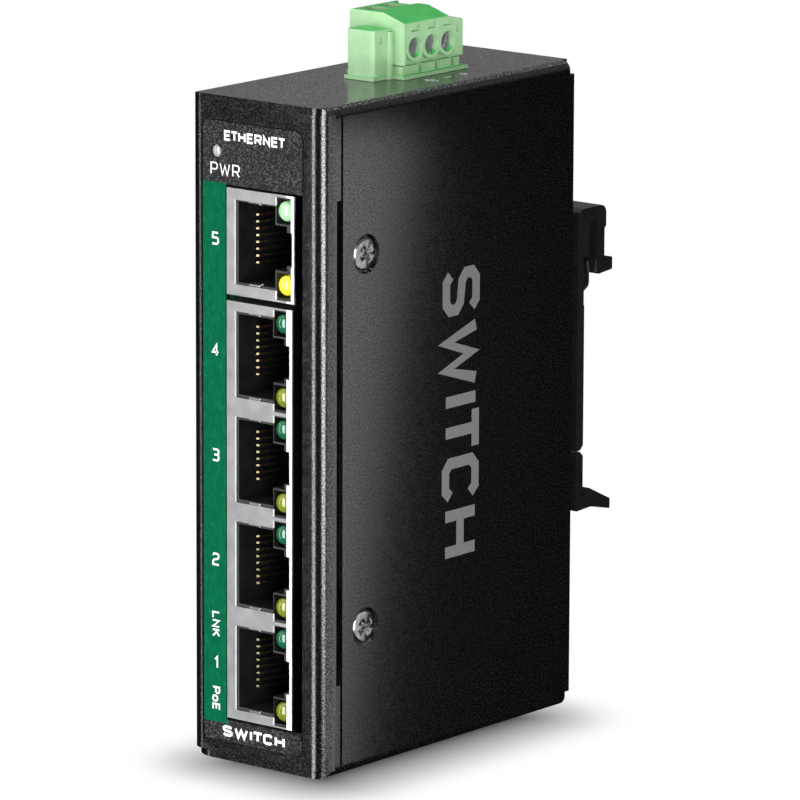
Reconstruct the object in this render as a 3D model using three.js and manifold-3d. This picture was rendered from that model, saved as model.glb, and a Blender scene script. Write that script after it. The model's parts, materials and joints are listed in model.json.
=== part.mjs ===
// A five-port industrial network switch for a 35 mm rail: a folded steel case, five shielded
// RJ45 sockets with their lamps, a pluggable three-pole supply terminal on top, a circuit board
// with its main components inside, and a rail clip on the back.
// Millimetres, +Z up. The origin is the centre of the case's bottom face; the sockets face -Y.
import * as THREE from 'three';
import { mergeVertices } from 'three/addons/utils/BufferGeometryUtils.js';
import Module from 'manifold-3d';

const wasm = await Module();
wasm.setup();

// ---------------------------------------------------------------- driving dimensions
const WIDTH = 26;
const DEPTH = 59;
const HEIGHT = 100;
const SHEET = 1.0; // steel thickness
const SIDE_BEND = 2.5; // outer radius of the bends beside the front face
const TOP_BEND = 1.5; // outer radius of the cover's long bends
const SHARP_BEND = 0.3; // outer radius of the cover's bend at the rear
const FIT = 0.05; // gap between flat faces that meet
const CLEAR = 0.3; // gap between pieces that are cut to fit each other

const RIGHT = WIDTH / 2;
const LEFT = -RIGHT;
const BACK = DEPTH / 2;
const FRONT = -BACK;

const SEAM_Y = FRONT + 3.95; // the seam between the front's return and the cover's side
const SEAM_GAP = 0.5;
const SEAM_NOTCH = 0.9; // extra width of the seam between its two narrow ends
const SEAM_NOTCH_Z = [13.8, 86.2];
const LIP = 2.5; // depth of the cover's bent edges

const COVER_SCREW_Y = FRONT + 9.55;
const COVER_SCREW_Z = [21.55, 77.5];

// sockets
const JACK_LEFT = -5.65;
const JACK_DEPTH = 16;
const SINGLE_Z = [70.62, 86.57];
const PORT_PITCH = 15.79;
const GANG_Z = [6.58, 6.58 + 4 * PORT_PITCH];
const SHIELD_WALL = 0.3;
// The single socket is a little wider than the ganged ones. The openings of one port are
// [x0, x1, half height] steps, measured from the shield's left edge.
const SINGLE = {
  right: 7.23,
  lamp: 10.8,
  shield: [[1.6, 9.5, 6.3], [9.4, 12.25, 7.62], [12.2, 12.45, 2.5]],
  plug: [[2.0, 9.0, 6.0], [8.9, 11.2, 3.3], [11.1, 12.3, 2.4]],
};
const GANGED = {
  right: 6.8,
  lamp: 10.3,
  shield: [[1.6, 8.95, 6.45], [8.9, 11.42, 7.62], [11.35, 12.0, 2.5]],
  plug: [[2.0, 8.6, 6.0], [8.5, 10.7, 3.3], [10.6, 11.85, 2.4]],
};
const CONTACT_PITCH = 1.016;
const CONTACTS = 8;
const LAMP_RADIUS = 1.5;
const LAMP_DOME = 0.8;
const LAMP_OFFSET = 5.5; // from a port's centre line to its lamps

// label and the opening for the sockets
const OPENING = { x0: -5.85, x1: 8.8, z0: 6.2, z1: 86.95 };
const LABEL = { x0: -10.15, x1: 8.8, z0: 2.9, z1: 96.2, thick: 0.3 };
const POWER_LAMP = { x: -7.64, z: 91.66, r: 0.92 };

// circuit board
const BOARD = { x0: -7.6, x1: -6.0, y0: FRONT + 1.9, y1: BACK - 2.1, z0: 3, z1: 97 };
const BOARD_FIXINGS = [[-10.5, 7], [-10.5, 93], [24, 7], [24, 93]];
const PART_X = BOARD.x1 + 0.1; // where the board's components start

// supply terminal
const TERMINAL_PITCH = 3.81;
const POLE_Y = [0, 1, 2].map((pole) => 0.8 + pole * TERMINAL_PITCH);
const PLUG = { x0: -5.2, x1: 5.25, y0: -1.8, y1: 12.0, z0: HEIGHT + 2.1, z1: 109.7 };
const PLUG_ROOF = { x: 1.3, z: 108.4, y1: 8.7, zEnd: 107.4 };
const TERMINAL_SCREW_Z = 104.6;
const HEADER_FLOOR_Z = 91.5;
const EAR = { x0: -2.3, x1: 2.7, y0: -5.9, z1: 107.5 };
const RIM = { grow: 0.3, y0: -2.15, y1: 13.0, z1: HEIGHT + 0.6 };

// rail clip
const CLIP_HALF = 12.5;
const CLIP_FRONT = BACK + 1.7;
const CLIP_REAR = BACK + 3.45;
const CLIP_Z = [29.7, 76.7];
const HINGE_Z = 39.15;
const CLIP_SCREW_Z = [46.5, 57.5];
const SEAT_TOP = 61.7; // top of the flat face that the rail rests against
const ARC_STEPS = 8;

// ---------------------------------------------------------------- helpers
const solidOf = (geometry) => {
  const bare = geometry.index ? geometry.toNonIndexed() : geometry.clone();
  bare.deleteAttribute('normal');
  bare.deleteAttribute('uv');
  const merged = mergeVertices(bare, 1e-4);
  const mesh = new wasm.Mesh({
    numProp: 3,
    vertProperties: new Float32Array(merged.attributes.position.array),
    triVerts: new Uint32Array(merged.index.array),
  });
  return new wasm.Manifold(mesh);
};

const geometryOf = (solid) => {
  const mesh = solid.getMesh();
  const geometry = new THREE.BufferGeometry();
  geometry.setAttribute('position', new THREE.BufferAttribute(new Float32Array(mesh.vertProperties), 3));
  geometry.setIndex(new THREE.BufferAttribute(new Uint32Array(mesh.triVerts), 1));
  return geometry;
};

const box = (x0, x1, y0, y1, z0, z1) => {
  const geometry = new THREE.BoxGeometry(x1 - x0, y1 - y0, z1 - z0);
  geometry.translate((x0 + x1) / 2, (y0 + y1) / 2, (z0 + z1) / 2);
  return solidOf(geometry);
};

// A closed outline from corners [u, v, radius]; a corner with a radius becomes an arc.
const outline = (corners) => {
  const points = [];
  corners.forEach(([u, v, radius = 0], index) => {
    const corner = new THREE.Vector2(u, v);
    if (radius === 0) {
      points.push(corner);
      return;
    }
    const before = corners[(index + corners.length - 1) % corners.length];
    const after = corners[(index + 1) % corners.length];
    const back = new THREE.Vector2(before[0], before[1]).sub(corner).normalize();
    const ahead = new THREE.Vector2(after[0], after[1]).sub(corner).normalize();
    const half = Math.acos(THREE.MathUtils.clamp(back.dot(ahead), -1, 1)) / 2;
    const reach = radius / Math.tan(half);
    const centre = back.clone().add(ahead).normalize().multiplyScalar(radius / Math.sin(half)).add(corner);
    const start = back.clone().multiplyScalar(reach).add(corner).sub(centre);
    const end = ahead.clone().multiplyScalar(reach).add(corner).sub(centre);
    const turn = Math.atan2(start.cross(end), start.dot(end));
    for (let step = 0; step <= ARC_STEPS; step += 1) {
      points.push(start.clone().rotateAround(new THREE.Vector2(), (turn * step) / ARC_STEPS).add(centre));
    }
  });
  return new THREE.Shape(points);
};

const extrude = (shape, length) => new THREE.ExtrudeGeometry(shape, {
  depth: length, bevelEnabled: false, curveSegments: 16,
});

// Prisms along each axis. The outline's (u, v) are (y, z), (x, z) and (x, y) in turn.
const prismX = (corners, x0, x1) => {
  const geometry = extrude(outline(corners), x1 - x0);
  const axes = new THREE.Matrix4().makeBasis(
    new THREE.Vector3(0, 1, 0),
    new THREE.Vector3(0, 0, 1),
    new THREE.Vector3(1, 0, 0),
  );
  geometry.applyMatrix4(axes);
  geometry.translate(x0, 0, 0);
  return solidOf(geometry);
};

const prismY = (corners, y0, y1) => {
  const geometry = extrude(outline(corners), y1 - y0);
  geometry.rotateX(Math.PI / 2);
  geometry.translate(0, y1, 0);
  return solidOf(geometry);
};

const prismZ = (corners, z0, z1) => {
  const geometry = extrude(outline(corners), z1 - z0);
  geometry.translate(0, 0, z0);
  return solidOf(geometry);
};

const rectangle = (u0, u1, v0, v1, radii = [0, 0, 0, 0]) => [
  [u0, v0, radii[0]],
  [u1, v0, radii[1]],
  [u1, v1, radii[2]],
  [u0, v1, radii[3]],
];

// A turned piece: profile points [radius, distance along the axis], closed on the axis.
const AXES = {
  x: (geometry) => geometry.rotateZ(-Math.PI / 2),
  y: (geometry) => geometry,
  z: (geometry) => geometry.rotateX(Math.PI / 2),
};

const turned = (profile, axis, place, sides = 20) => {
  const points = profile.map(([radius, along]) => new THREE.Vector2(radius, along));
  const geometry = AXES[axis](new THREE.LatheGeometry(points, sides));
  geometry.translate(...place);
  return solidOf(geometry);
};

const rod = (radius, axis, from, to, place, sides = 20) => turned(
  [[0, from], [radius, from], [radius, to], [0, to]],
  axis,
  place,
  sides,
);

const materials = {};
const finish = (name, color, roughness, metalness = 0) => {
  materials[name] = { color, roughness, metalness };
};
finish('coat', 0x2b2b2e, 0.55, 0.1);
finish('label', 0x37373a, 0.6);
finish('shield', 0xc4c4c6, 0.3, 1);
finish('blackPlastic', 0x121214, 0.5);
finish('gold', 0xe0b050, 0.3, 1);
finish('board', 0x1c5a33, 0.5);
finish('chip', 0x1a1a1c, 0.6);
finish('tin', 0xb8babc, 0.35, 1);
finish('screw', 0x35353a, 0.25, 1);
finish('terminal', 0x9fdc96, 0.45);
finish('clip', 0x161618, 0.45);
finish('spring', 0x6d6f72, 0.35, 1);
finish('lampPaleGreen', 0xa8dca8, 0.3);
finish('lampYellow', 0xe6dc3c, 0.3);
finish('lampGreen', 0x2f8558, 0.3);
finish('lampOlive', 0xa4b03c, 0.3);
finish('lampClear', 0xb4b4b4, 0.4);

const model = new THREE.Group();
const add = (name, solid, material) => {
  const mesh = new THREE.Mesh(geometryOf(solid), new THREE.MeshStandardMaterial(materials[material]));
  mesh.name = name;
  model.add(mesh);
};

// ---------------------------------------------------------------- case
const planOutline = (inset, backRight) => {
  const bend = SIDE_BEND - inset;
  const rear = Math.max(TOP_BEND - inset, SHARP_BEND);
  return rectangle(
    LEFT + inset,
    RIGHT - inset,
    FRONT + inset,
    BACK - inset,
    [bend, bend, backRight ? SHARP_BEND : 0, rear],
  );
};

// The front, the left side and the back are folded from one sheet. A narrow return on the right
// carries two set-back tabs that the cover's screws go into.
const makeChassis = () => {
  const top = HEIGHT - SHEET - FIT;
  const bottom = SHEET + FIT;
  let body = prismZ(planOutline(0, false), bottom, top);
  body = body.subtract(prismZ(planOutline(SHEET, false), bottom - 1, top + 1));
  const returnEnd = SEAM_Y - SEAM_GAP / 2;
  body = body.subtract(box(RIGHT - 2 * SHEET, RIGHT + 1, returnEnd, BACK + 1, 0, HEIGHT));
  body = body.subtract(box(7.2, RIGHT + 1, BACK - 5, BACK + 1, 0, HEIGHT));
  body = body.subtract(box(
    RIGHT - 2 * SHEET,
    RIGHT + 1,
    returnEnd - SEAM_NOTCH,
    returnEnd + 1,
    SEAM_NOTCH_Z[0],
    SEAM_NOTCH_Z[1],
  ));
  const bendEnd = FRONT + SIDE_BEND + FIT;
  [[HEIGHT - LIP - FIT, HEIGHT], [0, LIP + FIT]].forEach(([z0, z1]) => {
    body = body.subtract(box(LEFT - 1, LEFT + 1.7 * SHEET, bendEnd, BACK + 1, z0, z1));
  });
  [[HEIGHT - TOP_BEND - 0.2, HEIGHT], [0, TOP_BEND + 0.2]].forEach(([z0, z1]) => {
    body = body.subtract(box(RIGHT - 2 * SHEET, RIGHT + 1, bendEnd, SEAM_Y, z0, z1));
  });
  // stiffening folds along the top and the bottom of the left side
  [HEIGHT - LIP - FIT - SHEET, LIP + FIT].forEach((z) => {
    body = body.add(box(LEFT + 0.5, LEFT + 4, bendEnd + 1, BACK - 3, z, z + SHEET));
  });
  // a set-back flange behind the seam at the rear
  body = body.add(box(5.2, 9.6, BACK - 2.1, BACK - SHEET - CLEAR / 3, 6, HEIGHT - 6));
  body = body.add(box(5.2, 6.6, BACK - 1.6, BACK - 0.5, 6, HEIGHT - 6));
  // screw tabs, set back behind the cover
  const tabX = RIGHT - 3 * SHEET;
  COVER_SCREW_Z.forEach((z) => {
    const start = returnEnd - SEAM_NOTCH - 1.4;
    body = body.add(box(tabX, tabX + SHEET, start, COVER_SCREW_Y + 5, z - 6, z + 6));
    body = body.add(box(tabX, RIGHT - 0.4, start, start + 1.2, z - 6, z + 6));
    body = body.subtract(rod(1.6, 'x', -2, 2, [tabX + 0.5, COVER_SCREW_Y, z]));
  });
  // front: the opening for the sockets, the lamp hole and the shallow pocket for the label
  const { x0, x1, z0, z1 } = OPENING;
  body = body.subtract(box(x0, x1, FRONT - 1, FRONT + 2, z0, z1));
  body = body.subtract(prismY(rectangle(
    LABEL.x0 - 0.2,
    LABEL.x1 + 0.2,
    OPENING.z1 - 0.1,
    LABEL.z1 + 0.2,
    [0, 0.3, 1.6, 1.2],
  ), FRONT - 1, FRONT + LABEL.thick));
  body = body.subtract(prismY(rectangle(
    LABEL.x0 - 0.2,
    LABEL.x1 + 0.2,
    LABEL.z0 - 0.2,
    OPENING.z0 + 0.1,
    [1.2, 1.6, 1.6, 0],
  ), FRONT - 1, FRONT + LABEL.thick));
  body = body.subtract(box(LABEL.x0 - 0.2, x0 + 0.1, FRONT - 1, FRONT + LABEL.thick, z0 - 0.5, z1 + 0.5));
  body = body.subtract(rod(POWER_LAMP.r + 0.15, 'y', -2, 2, [POWER_LAMP.x, FRONT + 0.5, POWER_LAMP.z]));
  // left: holes for the board's standoffs; back: holes for the rail clip's screws
  BOARD_FIXINGS.forEach(([y, z]) => {
    body = body.subtract(rod(2.15, 'x', -2, 2, [LEFT + 0.5, y, z]));
  });
  CLIP_SCREW_Z.forEach((z) => {
    body = body.subtract(rod(1.55, 'y', -2, 2, [0, BACK - 0.5, z]));
  });
  return body;
};

// The cover is folded from one sheet: bottom, right side and top, with a short lip on the left
// and a return behind the right side.
const makeCover = () => {
  const corners = [TOP_BEND, TOP_BEND, TOP_BEND, TOP_BEND];
  const inner = corners.map((radius) => radius - SHEET);
  let body = prismY(rectangle(LEFT, RIGHT, 0, HEIGHT, corners), FRONT, BACK);
  body = body.subtract(prismY(
    rectangle(LEFT + SHEET, RIGHT - SHEET, SHEET, HEIGHT - SHEET, inner),
    FRONT - 1,
    BACK + 1,
  ));
  body = body.subtract(box(LEFT - 1, LEFT + 2 * SHEET, FRONT - 1, BACK + 1, LIP, HEIGHT - LIP));
  body = body.add(box(7.5, RIGHT - 0.3, BACK - SHEET, BACK, 3, HEIGHT - 3));
  body = body.intersect(prismZ(planOutline(0, true), -1, HEIGHT + 1));
  const sideStart = SEAM_Y + SEAM_GAP / 2;
  const bend = TOP_BEND + 0.1;
  body = body.subtract(box(RIGHT - 1.6, RIGHT + 1, FRONT - 1, sideStart, bend, HEIGHT - bend));
  body = body.subtract(box(
    LEFT - 1,
    RIGHT + 1,
    FRONT - 1,
    FRONT + SIDE_BEND + 0.15,
    SHEET,
    HEIGHT - SHEET,
  ));
  [[HEIGHT - 2.1, HEIGHT + 1], [-1, 2.1]].forEach(([z0, z1]) => {
    body = body.subtract(box(RIGHT - 1.6, RIGHT + 1, BACK - 1.2, BACK + 1, z0, z1));
  });
  // the bottom's front left corner is cut back behind the chassis's bend
  const cut = SIDE_BEND + 1.6;
  const corner = box(LEFT - 1, LEFT + cut, FRONT - 1, FRONT + cut, -1, SHEET + FIT);
  body = body.subtract(corner.subtract(rod(cut, 'z', -2, 2, [LEFT + cut, FRONT + cut, 0], 48)));
  // cut-out for the supply terminal
  body = body.subtract(prismZ(terminalOutline(0.1), HEIGHT - 3, HEIGHT + 1));
  // dimples for the two cover screws
  COVER_SCREW_Z.forEach((z) => {
    const place = [RIGHT, COVER_SCREW_Y, z];
    body = body.add(turned([[0, -1.8], [3.5, -1.8], [3.9, -0.9], [0, -0.9]], 'x', place, 28));
    body = body.subtract(turned([[0, -0.8], [2.6, -0.8], [2.95, 0], [3.1, 0.3], [0, 0.3]], 'x', place, 32));
    body = body.subtract(rod(1.65, 'x', -3, 0, place));
  });
  return body;
};

const makeLabel = () => {
  const y0 = FRONT - 0.03;
  const y1 = FRONT + LABEL.thick - FIT;
  const upper = rectangle(LABEL.x0, LABEL.x1, OPENING.z1, LABEL.z1, [0, 0.2, 1.4, 1]);
  const lower = rectangle(LABEL.x0, LABEL.x1, LABEL.z0, OPENING.z0, [1, 1.5, 1.5, 0]);
  let body = prismY(upper, y0, y1);
  body = body.add(prismY(lower, y0, y1));
  body = body.add(box(LABEL.x0, OPENING.x0, y0, y1, OPENING.z0 - 0.1, OPENING.z1 + 0.1));
  return body.subtract(rod(POWER_LAMP.r + 0.1, 'y', -2, 2, [POWER_LAMP.x, FRONT, POWER_LAMP.z]));
};

// ---------------------------------------------------------------- fasteners
// The recess's arms get shorter towards its floor.
const crossRecess = (depth, size, turn) => {
  const arm = size * 0.27;
  const half = size / 2;
  const blade = prismZ([[-depth, -half / 2], [0.2, -half], [0.2, half], [-depth, half / 2]], -arm / 2, arm / 2);
  return blade.add(blade.rotate([90, 0, 0])).rotate([turn, 0, 0]);
};

// A screw whose head faces +X, its head's top at the given place.
const makeScrew = ({ head, height, shank, length, place, turn = 0 }) => {
  const profile = [
    [0, -height - length],
    [shank, -height - length],
    [shank, -height],
    [head, -height],
    [head, -0.35],
    [head - 0.18, -0.12],
    [head - 0.45, 0],
    [0, 0],
  ];
  const recess = crossRecess(height * 0.8, head * 1.2, turn);
  return turned(profile, 'x', [0, 0, 0], 32).subtract(recess).translate(place);
};

// ---------------------------------------------------------------- sockets
const portCentres = {
  5: (SINGLE_Z[0] + SINGLE_Z[1]) / 2,
};
[1, 2, 3, 4].forEach((port) => {
  portCentres[port] = GANG_Z[0] + (port - 0.5) * PORT_PITCH;
});

const steps = (list, centre, y0, y1) => list
  .map(([u0, u1, half]) => box(JACK_LEFT + u0, JACK_LEFT + u1, y0, y1, centre - half, centre + half))
  .reduce((whole, piece) => whole.add(piece));

const makeShield = (kind, [z0, z1], ports) => {
  const wall = SHIELD_WALL;
  const back = FRONT + JACK_DEPTH;
  let body = box(JACK_LEFT, kind.right, FRONT, back, z0, z1);
  body = body.subtract(box(
    JACK_LEFT + wall,
    kind.right - wall,
    FRONT + wall,
    back + 1,
    z0 + wall,
    z1 - wall,
  ));
  ports.forEach((port) => {
    body = body.subtract(steps(kind.shield, portCentres[port], FRONT - 1, FRONT + 2 * wall));
  });
  return body;
};

const makeHousing = (kind, [z0, z1], ports) => {
  const wall = SHIELD_WALL + FIT;
  let body = box(
    JACK_LEFT + wall,
    kind.right - wall,
    FRONT + wall,
    FRONT + JACK_DEPTH - 0.4,
    z0 + wall,
    z1 - wall,
  );
  const lampX = JACK_LEFT + kind.lamp;
  ports.forEach((port) => {
    const centre = portCentres[port];
    body = body.subtract(steps(kind.plug, centre, FRONT - 1, FRONT + JACK_DEPTH - 1.6));
    [-1, 1].forEach((side) => {
      const lampZ = centre + side * LAMP_OFFSET;
      body = body.subtract(box(
        lampX - LAMP_RADIUS - FIT,
        lampX + LAMP_RADIUS + FIT,
        FRONT - 1,
        FRONT + 7,
        lampZ - 1.85,
        lampZ + 1.8,
      ));
    });
  });
  return body;
};

// Eight spring contacts on a common carrier that holds them at their pitch.
const makeContacts = (centre) => {
  const thick = 0.34;
  const rear = FRONT + JACK_DEPTH - 2.6;
  const spring = [
    [JACK_LEFT + 2.1, FRONT + 4.1],
    [JACK_LEFT + 2.1 + thick, FRONT + 4.0],
    [JACK_LEFT + 4.9, rear - 1],
    [JACK_LEFT + 4.9, rear + 0.2],
    [JACK_LEFT + 4.4, rear + 0.2],
    [JACK_LEFT + 4.4, rear - 0.8],
  ];
  let body = box(
    JACK_LEFT + 3.4,
    JACK_LEFT + 4.95,
    rear,
    rear + 0.8,
    centre - 4,
    centre + 4,
  );
  for (let index = 0; index < CONTACTS; index += 1) {
    const z = centre + (index - (CONTACTS - 1) / 2) * CONTACT_PITCH;
    body = body.add(prismZ(spring, z - thick / 2, z + thick / 2));
  }
  return body;
};

const makeLamp = (kind, centre) => {
  const place = [JACK_LEFT + kind.lamp, FRONT + 0.15, centre];
  const dome = [[0, 0]];
  for (let step = 1; step <= 5; step += 1) {
    const angle = (step / 5) * (Math.PI / 2);
    dome.push([LAMP_RADIUS * Math.sin(angle), LAMP_DOME * (1 - Math.cos(angle))]);
  }
  return turned([...dome, [LAMP_RADIUS, 6.2], [0, 6.2]], 'y', place, 20);
};

// ---------------------------------------------------------------- supply terminal
// Plan of the header: a narrow ear in front of the wide socket that takes the plug.
function terminalOutline(grow) {
  return [
    [EAR.x0 - grow, EAR.y0 - grow],
    [EAR.x1 + grow, EAR.y0 - grow],
    [EAR.x1 + grow, PLUG.y0 - grow],
    [PLUG.x1 + grow, PLUG.y0 - grow],
    [PLUG.x1 + grow, PLUG.y1 + grow],
    [PLUG.x0 - grow, PLUG.y1 + grow],
    [PLUG.x0 - grow, PLUG.y0 - grow],
    [EAR.x0 - grow, PLUG.y0 - grow],
  ];
}

const NOSE = { x0: -3.9, x1: 3.9, y0: -0.9, y1: 11.1, z0: 93.2 };

const makeHeader = () => {
  const { grow, y0, y1, z1 } = RIM;
  const earBack = PLUG.y0 - 0.2;
  let body = prismZ(terminalOutline(0), HEADER_FLOOR_Z, z1);
  body = body.add(box(EAR.x0 - grow, EAR.x1 + grow, EAR.y0 - grow, y0 + 1, HEIGHT + FIT, z1));
  body = body.add(box(PLUG.x0 - grow, PLUG.x1 + grow, y0, y1, HEIGHT + FIT, z1));
  // the ear, with a narrow step beside the plug and a small slot in its right face
  body = body.add(prismZ(
    rectangle(EAR.x0, EAR.x1, EAR.y0, earBack, [0.3, 0.8, 0, 0.3]),
    HEIGHT,
    EAR.z1,
  ));
  body = body.add(prismZ(
    rectangle(EAR.x1 - 1, EAR.x1 + 0.6, earBack - 1, earBack, [0, 0.4, 0.2, 0]),
    HEIGHT,
    EAR.z1 - 0.4,
  ));
  body = body.subtract(box(EAR.x1 - 0.4, EAR.x1 + 1, EAR.y0 + 1.45, EAR.y0 + 1.95, EAR.z1 - 2.1, EAR.z1 - 1.1));
  // the wall around the socket, notched between the poles
  const wallX = NOSE.x1 + 0.85;
  body = body.add(box(-wallX, wallX, NOSE.y0 - 0.7, NOSE.y1 + 0.7, HEIGHT, PLUG.z0 - 0.2));
  POLE_Y.forEach((y) => {
    const notch = y + TERMINAL_PITCH / 2;
    body = body.subtract(box(NOSE.x1, wallX + 1, notch - 0.55, notch + 0.55, z1 + 0.15, PLUG.z0));
  });
  const gap = CLEAR;
  body = body.subtract(box(
    NOSE.x0 - gap,
    NOSE.x1 + gap,
    NOSE.y0 - gap,
    NOSE.y1 + gap,
    NOSE.z0 - gap,
    HEIGHT + 4,
  ));
  POLE_Y.forEach((y) => {
    body = body.subtract(box(-0.9, 0.9, y - 0.9, y + 0.9, HEADER_FLOOR_Z - 1, NOSE.z0));
  });
  return body;
};

// A square pin that stands up into the plug and turns towards the board below the header.
const makePin = (y) => {
  const half = 0.4;
  return prismY([
    [half, 98.5],
    [-half, 98.5],
    [-half, HEADER_FLOOR_Z - 1],
    [BOARD.x1 + 0.2, HEADER_FLOOR_Z - 1],
    [BOARD.x1 + 0.2, HEADER_FLOOR_Z - 1 - 2 * half],
    [half, HEADER_FLOOR_Z - 1 - 2 * half],
  ], y - half, y + half);
};

const makePlug = () => {
  const { x0, x1, y0, y1, z0, z1 } = PLUG;
  let body = prismY([
    [x0, z0, 0.3],
    [x1, z0, 0.2],
    [x1, PLUG_ROOF.z, 0.3],
    [PLUG_ROOF.x, z1],
    [x0, z1, 0.4],
  ], y0, y1);
  body = body.add(box(NOSE.x0, NOSE.x1, NOSE.y0, NOSE.y1, NOSE.z0, z0 + 0.5));
  // the roof falls away towards the far end
  body = body.subtract(prismX([
    [PLUG_ROOF.y1, PLUG_ROOF.z],
    [y1 + 1, PLUG_ROOF.zEnd],
    [y1 + 1, z1 + 1],
    [PLUG_ROOF.y1, z1 + 1],
  ], x0 - 1, x1 + 1));
  // below the screws the face is set back, except for a round boss about each screw
  let relief = box(x1 - 1.3, x1 + 1, y0 + 0.45, POLE_Y[2] + 1.9, z0 - 1, TERMINAL_SCREW_Z - 0.75);
  POLE_Y.forEach((y) => {
    relief = relief.subtract(rod(2.05, 'x', -2, 2, [x1, y, TERMINAL_SCREW_Z], 32));
  });
  body = body.subtract(relief);
  const peg = rod(0.5, 'x', -0.4, 1, [x1, 10.5, 106.3], 20);
  body = body.subtract(peg.subtract(box(x1 - 1, x1 + 2, 9, 10.5, 105, 108)));
  POLE_Y.forEach((y) => {
    const place = [x1, y, TERMINAL_SCREW_Z];
    // clamp chamber, wire entry above it, screw bore in front of it and pin hole below it
    body = body.subtract(box(-4.7, 1.3, y - 1.5, y + 1.5, 102.7, 106.8));
    body = body.subtract(box(-4.4, -0.8, y - 1.4, y + 1.4, 106, z1 + 1));
    body = body.subtract(rod(1.55, 'x', -2.1, 1, place, 24));
    body = body.subtract(rod(1.1, 'x', -5, 0, place));
    body = body.subtract(box(-0.7, 0.7, y - 0.7, y + 0.7, NOSE.z0 - 1, 102));
    // the angled mark above the screw
    body = body.subtract(box(x1 - 0.4, x1 + 1, y - 0.95, y + 0.9, 107, 107.3));
    body = body.subtract(box(x1 - 0.4, x1 + 1, y + 0.45, y + 0.9, 107.2, 107.95));
  });
  return body;
};

// The clamp cage is a square ring; the wire goes down through it and the screw through its side.
const makeClamp = (y) => {
  let body = box(-3.3, 0.5, y - 1.35, y + 1.35, 102.95, 106.35);
  body = body.subtract(box(-2.7, -0.1, y - 0.95, y + 0.95, 102, 107));
  return body.subtract(rod(1.0, 'x', -2, 2, [0, y, TERMINAL_SCREW_Z]));
};

const makeTerminalScrew = (y, turn) => {
  const top = PLUG.x1 - 0.5;
  const profile = [[0, -1.0], [0.85, -1.0], [0.85, top - 1.3], [1.45, top - 1.3], [1.45, top - 0.15]];
  const body = turned([...profile, [1.3, top], [0, top]], 'x', [0, 0, 0], 24);
  const slot = box(top - 0.6, top + 1, -2, 2, -0.25, 0.25).rotate([turn, 0, 0]);
  return body.subtract(slot).translate([0, y, TERMINAL_SCREW_Z]);
};

// ---------------------------------------------------------------- rail clip
// Side outline of the upper clip: a plate that runs up into a hook over the rail's top edge.
const SLOT = { y0: BACK + 4.75, y1: BACK + 6.45, z0: 69.1, z1: 74.6 };

const makeClip = () => {
  const arm = BACK + 8.75;
  const lip = BACK + 10.35;
  const hinge = HINGE_Z + 0.1;
  const profile = [
    [CLIP_FRONT, hinge],
    [CLIP_REAR - 0.75, hinge],
    [CLIP_REAR, hinge + 0.75],
    [CLIP_REAR, SEAT_TOP],
    [CLIP_REAR - 0.15, SEAT_TOP + 0.15],
    [CLIP_REAR - 0.15, SLOT.z0],
    [SLOT.y0 - 0.4, SLOT.z0],
    [SLOT.y0, SLOT.z1],
    [SLOT.y1, SLOT.z1],
    [SLOT.y1, 66.4],
    [SLOT.y1 + 0.5, 66.1],
    [lip, 66.4, 0.3],
    [lip, 68.3],
    [arm - 0.4, 68.7],
    [arm - 0.4, 73.0],
    [arm, 73.4],
    [arm, CLIP_Z[1], 1.3],
    [CLIP_FRONT, CLIP_Z[1], 1.8],
  ];
  let body = prismX(profile, -CLIP_HALF, CLIP_HALF);
  body = body.add(box(-7, 7, BACK + FIT, CLIP_FRONT + 0.5, 43, 72));
  // seat for the leaf spring's foot
  body = body.subtract(box(-11.8, 11.8, CLIP_REAR - 0.8, CLIP_REAR + 1, 61.9, 64.9));
  CLIP_SCREW_Z.forEach((z) => {
    body = body.subtract(rod(1.55, 'y', -6, 6, [0, CLIP_FRONT, z]));
    body = body.subtract(turned(
      [[0, -1.6], [1.55, -1.6], [3.05, 0], [3.05, 1], [0, 1]],
      'y',
      [0, CLIP_REAR, z],
      24,
    ));
  });
  return body;
};

// The lower hook hangs below a thin web that lets it flex towards the case.
const makeLatch = () => {
  const top = HINGE_Z - 0.1;
  const low = CLIP_Z[0];
  const tip = BACK + 10.3;
  const body = prismX([
    [CLIP_FRONT, low + 0.1, 0.3],
    [BACK + 5.5, low + 0.3],
    [tip, low - 0.8, 0.2],
    [tip, low + 0.8],
    [BACK + 5.1, low + 3.3],
    [CLIP_REAR, low + 3.7],
    [CLIP_REAR, top - 0.75],
    [CLIP_REAR - 0.75, top],
    [CLIP_FRONT, top],
  ], -CLIP_HALF, CLIP_HALF);
  // a shallow hollow in each side, in the corner between the web and the hook
  const hollow = [[CLIP_REAR - 0.3, low + 3.1], [CLIP_REAR + 0.1, low + 1.9], [CLIP_REAR + 0.9, low + 3.0]];
  return body
    .subtract(prismX(hollow, CLIP_HALF - 0.6, CLIP_HALF + 1))
    .subtract(prismX(hollow, -CLIP_HALF - 1, 0.6 - CLIP_HALF));
};

// A bent leaf that pushes the rail's top edge back against the hook.
const makeClipSpring = () => prismX([
  [CLIP_REAR - 0.65, 62.2],
  [CLIP_REAR - 0.15, 62.2],
  [CLIP_REAR + 0.1, 63.2, 0.3],
  [BACK + 5.75, 64.4, 1.0],
  [BACK + 5.75, 66.6],
  [BACK + 5.5, 68.2],
  [BACK + 5.1, 68.2],
  [BACK + 5.25, 66.6],
  [BACK + 5.25, 64.8, 0.6],
  [CLIP_REAR - 0.2, 63.7, 0.3],
  [CLIP_REAR - 0.65, 63.3],
], -11.6, 11.6);

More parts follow.
